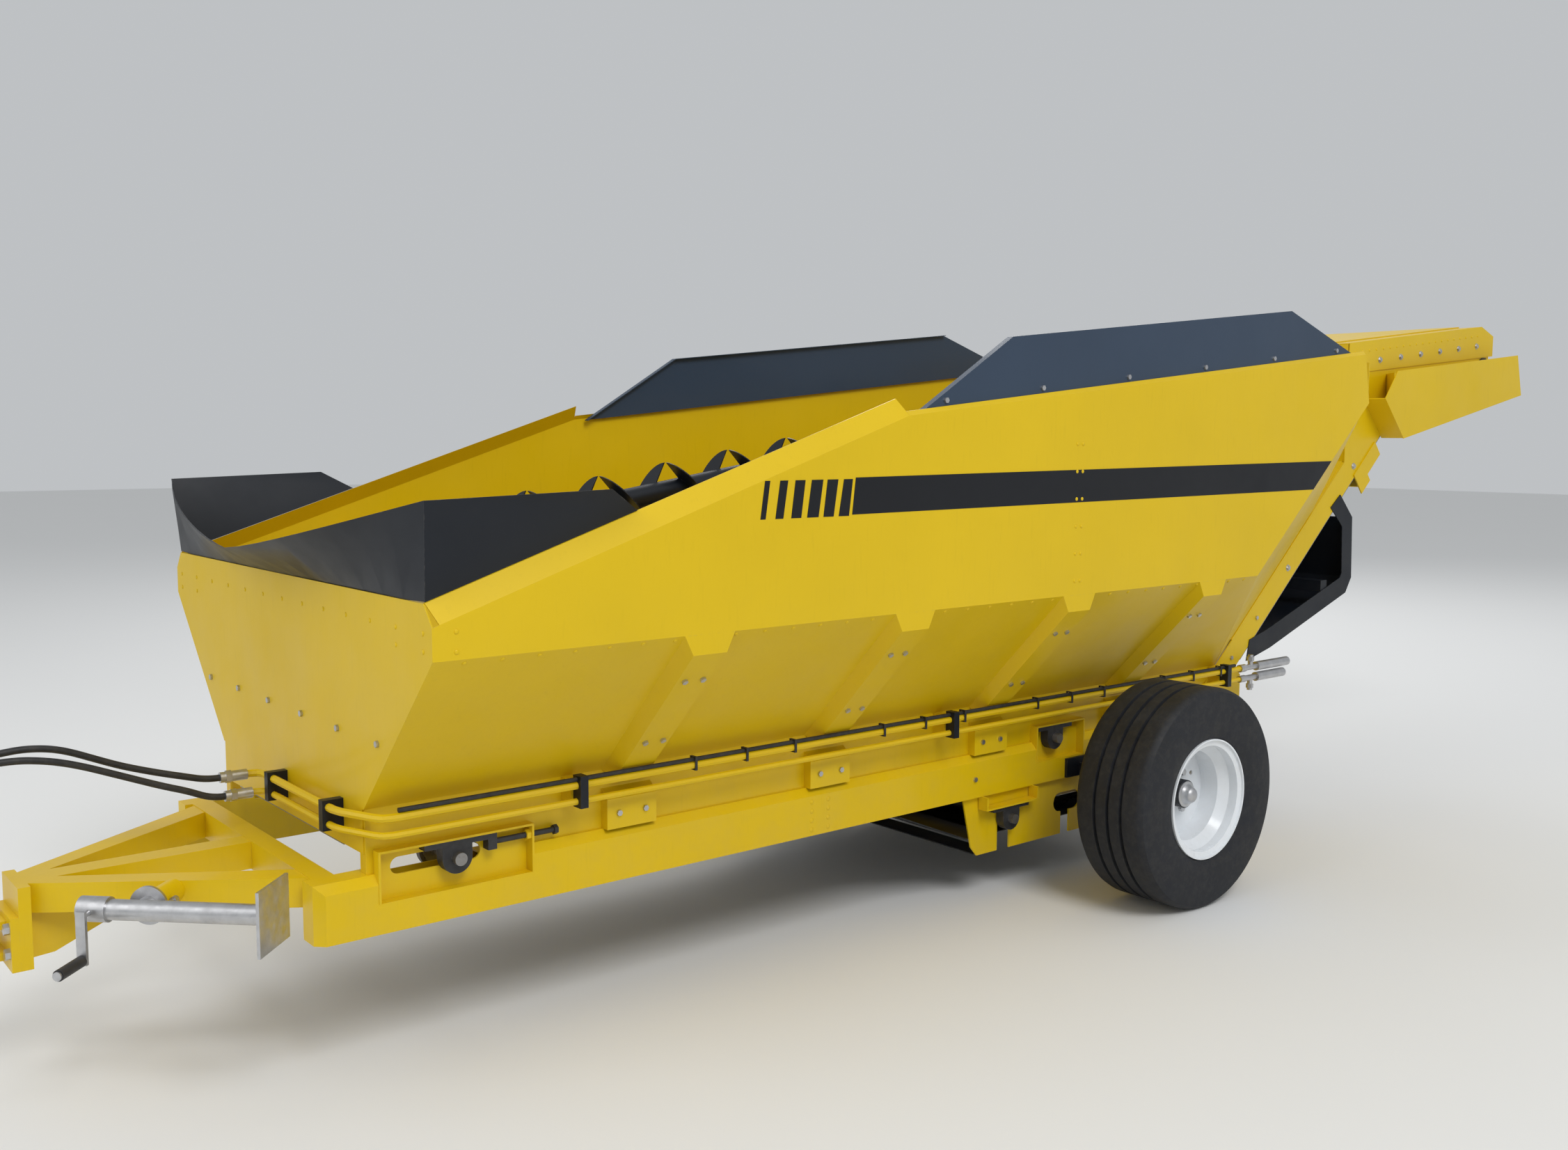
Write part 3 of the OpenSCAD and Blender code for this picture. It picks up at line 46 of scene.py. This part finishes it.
BODY_OF = {n: b for b, group in BODIES.items() for n in group}


# ---------------------------------------------------------------- camera
LENS_MM = 32.79
CAMERA_PLACE = (-4.267, -3.945, 1.657)
CAMERA_LOOK = (0.633, 0.768, -0.098)
CAMERA_ROLL = -0.25


def make_camera():
    cam = bpy.data.objects.new("camera", bpy.data.cameras.new("camera"))
    bpy.context.collection.objects.link(cam)
    cam.data.sensor_width = 36
    cam.data.lens = LENS_MM
    cam.data.clip_start = 0.05
    cam.data.clip_end = 200
    cam.location = CAMERA_PLACE
    look = Vector(CAMERA_LOOK).normalized()
    cam.rotation_mode = "QUATERNION"
    turn = Matrix.Rotation(math.radians(CAMERA_ROLL), 4, look).to_quaternion()
    cam.rotation_quaternion = turn @ look.to_track_quat("-Z", "Y")
    bpy.context.scene.camera = cam


make_camera()


# ---------------------------------------------------------------- meshes
def new_piece(name, mesh, body, material, smooth=False):
    obj = bpy.data.objects.new(name, mesh)
    bpy.context.collection.objects.link(obj)
    mesh.materials.append(material)
    for p in mesh.polygons:
        p.use_smooth = smooth
    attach(obj, body)
    return obj


def mesh_from(name, verts, faces):
    mesh = bpy.data.meshes.new(name)
    mesh.from_pydata([tuple(v) for v in verts], [], faces)
    mesh.validate()
    mesh.update()
    return mesh


def frame_for(normal):
    n = Vector(normal).normalized()
    side = Vector((0, 0, 1)) if abs(n.z) < 0.9 else Vector((1, 0, 0))
    u = side.cross(n).normalized()
    return u, n.cross(u), n


def domes(name, spots, radius, height, material, body="cart", sides=12):
    """Round rivet heads: each spot is a point and its outward normal."""
    verts, faces = [], []
    for point, normal in spots:
        u, v, n = frame_for(normal)
        base = len(verts)
        rings = [(1.0, -0.2), (1.0, 0.15), (0.86, 0.55), (0.5, 0.9)]
        for r, h in rings:
            for k in range(sides):
                a = 2 * math.pi * k / sides
                verts.append(Vector(point) + radius * r * (math.cos(a) * u + math.sin(a) * v)
                             + n * height * h)
        verts.append(Vector(point) + n * height)
        for i in range(len(rings) - 1):
            for k in range(sides):
                a, b = base + i * sides + k, base + i * sides + (k + 1) % sides
                faces.append((a, b, b + sides, a + sides))
        last = base + (len(rings) - 1) * sides
        for k in range(sides):
            faces.append((last + k, last + (k + 1) % sides, len(verts) - 1))
    return new_piece(name, mesh_from(name, verts, faces), body, material, True)


def hex_heads(name, spots, radius, height, material, body="cart"):
    """Hexagon bolt heads with a washer under each and a chamfered top."""
    verts, faces = [], []
    for point, normal in spots:
        u, v, n = frame_for(normal)
        base = len(verts)
        rows = [(1.35, -0.05, 24), (1.35, 0.16, 24), (1.0, 0.16, 24), (1.0, 0.85, 6),
                (0.86, 1.0, 24)]
        for r, h, corners in rows:
            for k in range(24):
                a = 2 * math.pi * k / 24
                grow = 1.0
                if corners == 6 or r == 1.0:
                    grow = math.cos(math.pi / 6) / math.cos((a % (math.pi / 3)) - math.pi / 6)
                verts.append(Vector(point) + radius * r * grow * (math.cos(a) * u
                             + math.sin(a) * v) + n * height * h)
        for i in range(len(rows) - 1):
            for k in range(24):
                a, b = base + i * 24 + k, base + i * 24 + (k + 1) % 24
                faces.append((a, b, b + 24, a + 24))
        faces.append(tuple(base + (len(rows) - 1) * 24 + k for k in range(24)))
    return new_piece(name, mesh_from(name, verts, faces), body, material)


def plate(name, outline, depth, material, body="cart"):
    """A thin plate: a planar outline in space, thickened along depth."""
    n = len(outline)
    verts = [Vector(p) for p in outline] + [Vector(p) + Vector(depth) for p in outline]
    faces = [tuple(range(n)), tuple(range(2 * n - 1, n - 1, -1))]
    faces += [(i, i + n, (i + 1) % n + n, (i + 1) % n) for i in range(n)]
    mesh = mesh_from(name, verts, faces)
    bm = bmesh.new()
    bm.from_mesh(mesh)
    bmesh.ops.recalc_face_normals(bm, faces=bm.faces)
    bm.to_mesh(mesh)
    bm.free()
    return new_piece(name, mesh, body, material)


def pipe(name, points, radius, material, body="cart", order=4):
    """A smooth round tube along its points."""
    data = bpy.data.curves.new(name, "CURVE")
    data.dimensions = "3D"
    data.bevel_depth = radius
    data.bevel_resolution = 5
    data.resolution_u = 6
    data.use_fill_caps = True
    line = data.splines.new("NURBS")
    line.points.add(len(points) - 1)
    for p, q in zip(line.points, points):
        p.co = (*q, 1)
    line.order_u = order
    line.use_endpoint_u = True
    obj = bpy.data.objects.new(name, data)
    bpy.context.collection.objects.link(obj)
    data.materials.append(material)
    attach(obj, body)
    return obj


# ---------------------------------------------------------------- materials
class Nodes:
    """Short hand for building one material's nodes."""

    def __init__(self, name):
        self.mat = bpy.data.materials.new(name)
        self.mat.use_nodes = True
        self.tree = self.mat.node_tree
        self.shader = self.tree.nodes["Principled BSDF"]
        self.place = self.tree.nodes.new("ShaderNodeTexCoord").outputs["Object"]

    def add(self, kind, **values):
        node = self.tree.nodes.new("ShaderNode" + kind)
        for key, value in values.items():
            if key in node.inputs:
                self.put(node.inputs[key], value)
            else:
                setattr(node, key, value)
        return node

    def put(self, socket, value):
        if isinstance(value, bpy.types.NodeSocket):
            self.tree.links.new(value, socket)
        else:
            socket.default_value = value

    def noise(self, scale, detail=4.0, rough=0.55, stretch=None):
        place = self.place
        if stretch:
            place = self.add("Mapping", Vector=self.place, Scale=stretch).outputs["Vector"]
        return self.add("TexNoise", Vector=place, Scale=scale, Detail=detail,
                        Roughness=rough).outputs["Fac"]

    def ramp(self, value, low, high, out_low=0.0, out_high=1.0):
        node = self.tree.nodes.new("ShaderNodeMapRange")
        for key, v in (("Value", value), ("From Min", low), ("From Max", high),
                       ("To Min", out_low), ("To Max", out_high)):
            self.put(node.inputs[key], v)
        return node.outputs["Result"]

    def math(self, operation, a, b=0.0):
        node = self.tree.nodes.new("ShaderNodeMath")
        node.operation = operation
        self.put(node.inputs[0], a)
        self.put(node.inputs[1], b)
        return node.outputs[0]

    def mix(self, fac, a, b):
        node = self.tree.nodes.new("ShaderNodeMix")
        node.data_type = "RGBA"
        self.put(node.inputs["Factor"], fac)
        colours = [s for s in node.inputs if s.type == "RGBA"]
        self.put(colours[0], a if not isinstance(a, tuple) else (*a, 1))
        self.put(colours[1], b if not isinstance(b, tuple) else (*b, 1))
        return [s for s in node.outputs if s.type == "RGBA"][0]

    def edges(self, radius):
        """1 along worn edges and 0 on flats."""
        bevel = self.add("Bevel", samples=4, Radius=radius).outputs["Normal"]
        flat = self.tree.nodes.new("ShaderNodeNewGeometry").outputs["Normal"]
        node = self.tree.nodes.new("ShaderNodeVectorMath")
        node.operation = "DOT_PRODUCT"
        self.tree.links.new(bevel, node.inputs[0])
        self.tree.links.new(flat, node.inputs[1])
        return self.ramp(node.outputs["Value"], 0.98, 0.86)

    def height(self, value, strength, distance):
        return self.add("Bump", Height=value, Strength=strength, Distance=distance)

    def low_down(self, bottom, top):
        split = self.add("SeparateXYZ", Vector=self.place)
        return self.ramp(split.outputs["Z"], bottom, top, 1.0, 0.0)


def paint(name, colour, rough=0.3, coat=0.5, dust=0.35, wear=0.25, dark=0.86,
          dust_colour=(0.36, 0.29, 0.2)):
    """Powder coat: slight colour drift, orange peel, road dust low down and rubbed edges."""
    m = Nodes(name)
    drift = m.ramp(m.noise(1.6, 3.0), 0.3, 0.7)
    base = m.mix(drift, tuple(c * dark for c in colour), colour)
    grime = m.math("MULTIPLY", m.ramp(m.noise(9.0, 8.0, 0.65), 0.42, 0.72),
                   m.low_down(0.2, 1.3))
    base = m.mix(m.math("MULTIPLY", grime, dust), base, dust_colour)
    streak = m.ramp(m.noise(14.0, 5.0, 0.6, (6.0, 6.0, 0.7)), 0.56, 0.8)
    base = m.mix(m.math("MULTIPLY", streak, 0.12), base, tuple(c * 0.55 for c in colour))
    rub = m.math("MULTIPLY", m.edges(0.003), m.ramp(m.noise(60.0, 4.0), 0.5, 0.66))
    base = m.mix(m.math("MULTIPLY", rub, wear), base, (0.25, 0.23, 0.2))
    m.put(m.shader.inputs["Base Color"], base)
    m.put(m.shader.inputs["Roughness"], m.ramp(m.noise(5.0, 6.0), 0.3, 0.75, rough,
                                               rough + 0.16))
    m.shader.inputs["Coat Weight"].default_value = coat
    m.shader.inputs["Coat Roughness"].default_value = 0.12
    m.shader.inputs["IOR"].default_value = 1.5
    m.shader.inputs["Specular IOR Level"].default_value = 0.3
    peel = m.height(m.noise(420.0, 2.0), 0.05, 0.0006)
    wave = m.height(m.noise(2.2, 2.0), 0.12, 0.006)
    m.put(wave.inputs["Normal"], peel.outputs["Normal"])
    m.put(m.shader.inputs["Normal"], wave.outputs["Normal"])
    return m.mat


def metal(name, colour, rough=0.35, brushed=(1.0, 1.0, 1.0), stain=0.3, wear=0.0,
          metallic=1.0):
    """Plated or bare steel with brushing, blotches and stains."""
    m = Nodes(name)
    blotch = m.ramp(m.noise(26.0, 6.0, 0.6), 0.3, 0.75)
    base = m.mix(blotch, tuple(c * 0.78 for c in colour), colour)
    dirt = m.ramp(m.noise(70.0, 8.0, 0.7), 0.55, 0.75)
    base = m.mix(m.math("MULTIPLY", dirt, stain), base, (0.14, 0.1, 0.07))
    m.put(m.shader.inputs["Base Color"], base)
    m.shader.inputs["Metallic"].default_value = metallic
    m.put(m.shader.inputs["Roughness"], m.ramp(m.noise(40.0, 5.0), 0.3, 0.7, rough,
                                               rough + 0.22))
    lines = m.height(m.noise(180.0, 3.0, 0.5, brushed), 0.12, 0.0004)
    m.put(m.shader.inputs["Normal"], lines.outputs["Normal"])
    return m.mat


def rubber(name, colour=(0.022, 0.022, 0.023), rough=0.62, dust=0.35, grain=260.0,
           ribs=None):
    """Black rubber with a fine grain, a grey bloom and patchy dust."""
    m = Nodes(name)
    bloom = m.ramp(m.noise(7.0, 6.0, 0.6), 0.35, 0.75)
    base = m.mix(m.math("MULTIPLY", bloom, 0.6), colour, tuple(c * 2.4 for c in colour))
    dirt = m.math("MULTIPLY", m.ramp(m.noise(38.0, 8.0, 0.7), 0.45, 0.75), dust)
    base = m.mix(dirt, base, (0.17, 0.15, 0.12))
    m.put(m.shader.inputs["Base Color"], base)
    m.put(m.shader.inputs["Roughness"], m.ramp(bloom, 0.0, 1.0, rough, rough + 0.2))
    m.shader.inputs["Specular IOR Level"].default_value = 0.4
    bump = m.height(m.noise(grain, 3.0), 0.25, 0.0008)
    m.put(m.shader.inputs["Normal"], bump.outputs["Normal"])
    return m.mat


def cast(name, colour=(0.028, 0.028, 0.03)):
    m = Nodes(name)
    base = m.mix(m.ramp(m.noise(30.0, 6.0), 0.35, 0.7), tuple(c * 0.6 for c in colour), colour)
    rub = m.math("MULTIPLY", m.edges(0.002), m.ramp(m.noise(80.0, 3.0), 0.45, 0.6))
    base = m.mix(m.math("MULTIPLY", rub, 0.5), base, (0.2, 0.19, 0.18))
    m.put(m.shader.inputs["Base Color"], base)
    m.put(m.shader.inputs["Roughness"], m.ramp(m.noise(50.0, 4.0), 0.3, 0.7, 0.42, 0.68))
    rough = m.height(m.noise(240.0, 5.0, 0.6), 0.35, 0.0012)
    m.put(m.shader.inputs["Normal"], rough.outputs["Normal"])
    return m.mat


YELLOW = paint("yellow_powder_coat", (0.74, 0.50, 0.001), 0.36, 0.1, 0.1, 0.15, 0.93)
BLACK = paint("black_powder_coat", (0.006, 0.009, 0.015), 0.4, 0.08, 0.06, 0.3, 0.7)
PANEL = paint("slate_panel_coat", (0.030, 0.052, 0.090), 0.4, 0.2, 0.06, 0.25, 0.9)
WHITE = paint("white_rim_coat", (0.80, 0.83, 0.86), 0.25, 0.5, 0.12, 0.1, 0.97)
CAST = cast("painted_casting")
ZINC = metal("zinc_plate", (0.62, 0.62, 0.63), 0.3, (1, 1, 1), 0.12)
STEEL = metal("worn_steel", (0.36, 0.35, 0.34), 0.38, (1.0, 14.0, 14.0), 0.4)
CHAIN = metal("chain_steel", (0.16, 0.145, 0.13), 0.45, (1, 1, 1), 0.5)
TYRE = rubber("tyre_rubber", (0.009, 0.010, 0.013), 0.6, 0.1, 200.0)
HOSE = rubber("hose_rubber", (0.018, 0.018, 0.019), 0.45, 0.15, 320.0)
GRIP = rubber("grip_plastic", (0.02, 0.02, 0.021), 0.4, 0.1, 500.0)
DECAL = paint("black_film", (0.006, 0.007, 0.010), 0.4, 0.05, 0.05, 0.0, 0.8)

LOOKS = {
    "yellow_paint": YELLOW, "black_paint": BLACK, "grey_panel": PANEL, "cast_black": CAST,
    "zinc_steel": ZINC, "bare_steel": STEEL, "white_rim": WHITE, "tyre_rubber": TYRE,
    "hose_rubber": HOSE, "grip_plastic": GRIP,
}
SLOT_OF = {p["node"]: p["material_slot"] for p in frame["record"]["subparts"]}
for name, obj in NODES.items():
    look = LOOKS[SLOT_OF[name]]
    if name in ("floor_chain", "elevator_chain"):
        look = CHAIN
    if not obj.material_slots:
        obj.data.materials.append(look)
    for s in obj.material_slots:
        s.material = look


# ---------------------------------------------------------------- rounded pieces
def smooth_copy(node, sharp_deg):
    """Stands in for a CAD node with the same shape, shaded smooth across its rounded faces."""
    mesh = NODES[node].data.copy()
    bm = bmesh.new()
    bm.from_mesh(mesh)
    bmesh.ops.remove_doubles(bm, verts=bm.verts, dist=0.00002)
    limit = math.radians(sharp_deg)
    for f in bm.faces:
        f.smooth = True
    for e in bm.edges:
        e.smooth = len(e.link_faces) == 2 and e.calc_face_angle(0.0) < limit
    bm.to_mesh(mesh)
    bm.free()
    obj = bpy.data.objects.new(node + "_smooth", mesh)
    bpy.context.collection.objects.link(obj)
    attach(obj, BODY_OF[node])
    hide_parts(node)
    obj.matrix_world = NODES[node].matrix_world.copy()
    return obj


for rounded in ("front_apron", "tyre_left", "tyre_right", "rim_left", "rim_right",
                "wheel_hub_left", "wheel_hub_right", "hub_cap_left", "hub_cap_right",
                "jack_tube", "jack_ram", "jack_crank", "jack_grip", "hard_lines", "harness",
                "levelling_auger", "shaft_bearings", "takeup_blocks", "front_shaft",
                "rear_fittings", "hose_fittings"):
    smooth_copy(rounded, 42 if rounded == "front_apron" else 32)


# ---------------------------------------------------------------- hoses
def cord_route(points_mm):
    """The route in metres, from points in millimetres."""
    return [Vector(p) / 1000 for p in points_mm]


HOSE_UPPER = cord_route([
    (-2985, 100, 690), (-3020, 100, 690), (-3080, 100, 708), (-3130, 100, 723),
    (-3185, 100, 741), (-3246, 100, 763), (-3306, 98, 790), (-3367, 96, 818),
    (-3410, 94, 832), (-3451, 92, 839), (-3490, 90, 841), (-3530, 88, 838),
    (-3570, 86, 834), (-3605, 86, 834)])
HOSE_LOWER = cord_route([
    (-2985, 60, 645), (-3020, 60, 645), (-3085, 60, 676), (-3143, 60, 697),
    (-3212, 60, 726), (-3280, 60, 755), (-3346, 59, 783), (-3411, 58, 805),
    (-3475, 57, 818), (-3520, 56, 821), (-3565, 55, 820), (-3605, 55, 820)])


def hose(name, route, node):
    obj = pipe(name, route, 0.0094, HOSE, order=3)
    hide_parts(node)
    end = route[-1]
    collar = pipe(name + "_ferrule", [end + Vector((0.040, 0, 0)), end + Vector((0.020, 0, 0)),
                                      end + Vector((0.001, 0, 0))], 0.0118, ZINC,
                  order=2)
    return obj


hose("supply_hose", HOSE_UPPER, "hose_upper")
hose("return_hose", HOSE_LOWER, "hose_lower")


# ---------------------------------------------------------------- rivets and bolts
def mirrored(spots):
    """The spots on the near side, then the same on the far side."""
    return spots + [((p[0], -p[1], p[2]), (n[0], -n[1], n[2])) for p, n in spots]


SIDE = 0.939
FRONT = -2.831
KNEE = (-1.316, 1.713)
FRONT_PITCH = 18.3
TOP_PITCH = 6.1


def edge_z(x):
    """Height of the side's top edge."""
    if x < KNEE[0]:
        return 1.213 + (x + 2.828) * math.tan(math.radians(FRONT_PITCH))
    return KNEE[1] + (x - KNEE[0]) * math.tan(math.radians(TOP_PITCH))


bend = [((-2.746 + 0.1 * i, -0.9285, 1.122), (0, -0.722, -0.692)) for i in range(33)]
seam = [((x, -SIDE, 1.18 + 0.09 * i), (0, -1, 0)) for x in (-0.548, -0.52)
        for i in range(int((edge_z(-0.534) - 1.2) / 0.09))]
corner = [((-2.770, -SIDE, z), (0, -1, 0)) for z in (1.152, 1.200)]
domes("side_rivets", mirrored(bend + seam + corner), 0.0065, 0.003, YELLOW)
top_row = [((FRONT, -0.891 + 0.1485 * i, 1.195), (-1, 0, 0)) for i in range(13)]
second = [((FRONT, y, 1.152), (-1, 0, 0)) for y in (-0.891, -0.7425, 0.7425, 0.891)]
domes("front_rivets", top_row + second, 0.0065, 0.003, YELLOW)
splice = [((-1.323 + dx, -0.560, z), (0, -1, 0)) for dx in (-0.035, 0.035)
          for z in (0.40, 0.43, 0.46, 0.49)]
domes("rail_rivets", mirrored(splice), 0.008, 0.0022, YELLOW)
tips = [((-2.85 + 0.1 * i, -0.548, 0.3806), (0, 0, -1)) for i in range(39)
        if not -0.68 < -2.85 + 0.1 * i < 0.64]
domes("rail_under_rivets", mirrored(tips), 0.006, 0.004, ZINC)

HOOD_Y = -0.536


def hood_edge(x, below):
    """A point on the hood's side, this far below its sloping top edge."""
    z = 2.0791 + (x - 1.850) * math.tan(math.radians(TOP_PITCH))
    return (x, HOOD_Y, z - below), (0, -1, 0)


hood_rivets = [hood_edge(1.90 + 0.062 * i, 0.045) for i in range(20)]
hood_bolts = [hood_edge(1.93 + 0.19 * i, 0.095) for i in range(7)]
domes("hood_rivets", mirrored(hood_rivets), 0.006, 0.003, YELLOW)
hex_heads("hood_bolts", mirrored(hood_bolts), 0.011, 0.008, ZINC)
hex_heads("elevator_bolts", mirrored([((1.413, -0.532, 1.083), (0, -1, 0)),
          ((1.930, -0.532, 1.523), (0, -1, 0))]), 0.011, 0.008, ZINC)


# ---------------------------------------------------------------- stripe
def decal(name, outline):
    for side in (-1, 1):
        y = side * (SIDE + 0.0002)
        plate(name + ("_left" if side < 0 else "_right"), [(x, y, z) for x, z in outline],
              (0, side * 0.0006, 0), DECAL)


decal("stripe", [(-1.527, 1.536), (1.023, 1.561), (0.897, 1.451), (-1.540, 1.431)])
# Each bar: the left and right X of its top edge, then of its bottom edge
BARS = [(-1.857, -1.839, -1.873, -1.855), (-1.804, -1.776, -1.821, -1.793),
        (-1.750, -1.714, -1.765, -1.729), (-1.691, -1.649, -1.708, -1.666),
        (-1.633, -1.593, -1.648, -1.610), (-1.572, -1.538, -1.591, -1.552)]
for i, (a, b, c, d) in enumerate(BARS):
    decal("stripe_bar_%d" % i, [(a, 1.532), (b, 1.532), (d, 1.428), (c, 1.428)])


# ---------------------------------------------------------------- stage
def make_stage():
    size = 40
    mesh = mesh_from("floor", [(-size, -size, 0), (size, -size, 0), (size, size, 0),
                               (-size, size, 0)], [(0, 1, 2, 3)])
    floor = bpy.data.objects.new("floor", mesh)
    bpy.context.collection.objects.link(floor)
    m = Nodes("pale_floor")
    m.put(m.shader.inputs["Base Color"], (0.80, 0.80, 0.79, 1))
    m.put(m.shader.inputs["Roughness"], m.ramp(m.noise(0.8, 3.0), 0.3, 0.7, 0.75, 0.85))
    mesh.materials.append(m.mat)
    world = bpy.data.worlds.new("studio")
    bpy.context.scene.world = world
    world.use_nodes = True
    world.node_tree.nodes["Background"].inputs["Color"].default_value = (0.94, 0.97, 1, 1)
    world.node_tree.nodes["Background"].inputs["Strength"].default_value = 0.55
    bpy.context.scene.view_settings.view_transform = "Standard"
    bpy.context.scene.view_settings.look = "None"
    for name, place, aim, power, wide in (
            ("key", (-3, -9, 10), (0, 0, 1), 720, 5), ("fill", (-9, 1, 5), (-1, 0, 1), 160, 6),
            ("back", (7, 7, 8), (0, 0, 1.5), 400, 5)):
        light = bpy.data.objects.new(name, bpy.data.lights.new(name, "AREA"))
        light.data.energy = power
        light.data.size = wide
        light.location = place
        way = Vector(aim) - Vector(place)
        light.rotation_euler = way.to_track_quat("-Z", "Y").to_euler()
        bpy.context.collection.objects.link(light)


make_stage()
